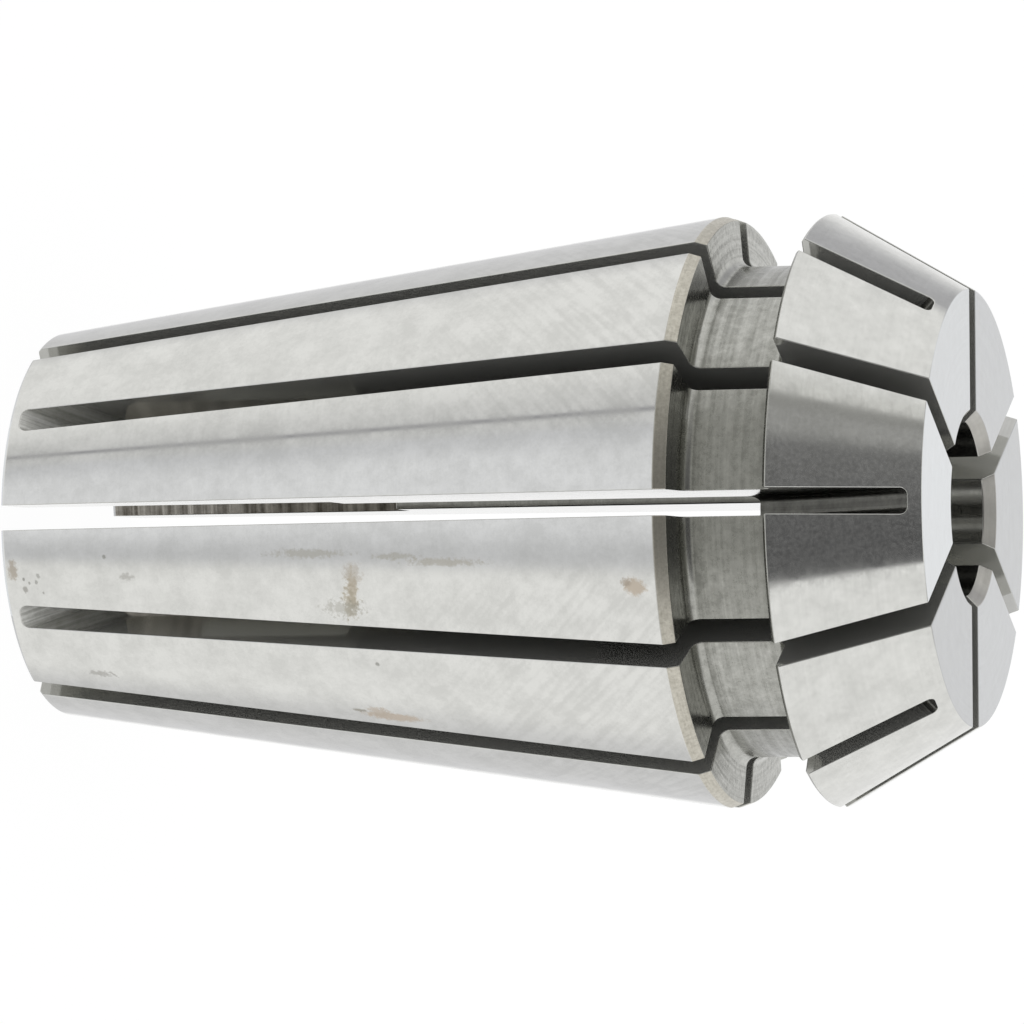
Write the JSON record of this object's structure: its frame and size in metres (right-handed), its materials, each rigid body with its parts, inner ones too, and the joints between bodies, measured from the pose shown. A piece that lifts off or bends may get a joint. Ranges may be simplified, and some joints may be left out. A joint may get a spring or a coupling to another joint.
{
  "type": "er collet",
  "caption": "Slotted spring collet of hard ground steel, with a long taper, a nut groove, a short steep head and a straight bore that grips a round tool shank.",
  "frame": {"origin": "centre of the small back end's face, on the collet's axis", "axes": "+Z along the axis from the small back end to the head; a slot that opens at the back end faces -Y"},
  "size_m": [0.017, 0.017, 0.0275],
  "materials": {
    "ground_steel": "hardened spring steel, ground on the taper, the head and the faces, turned in the groove, sawn in the slots"
  },
  "bodies": {
    "root": {"collet": "ground_steel"}
  },
  "joints": []
}
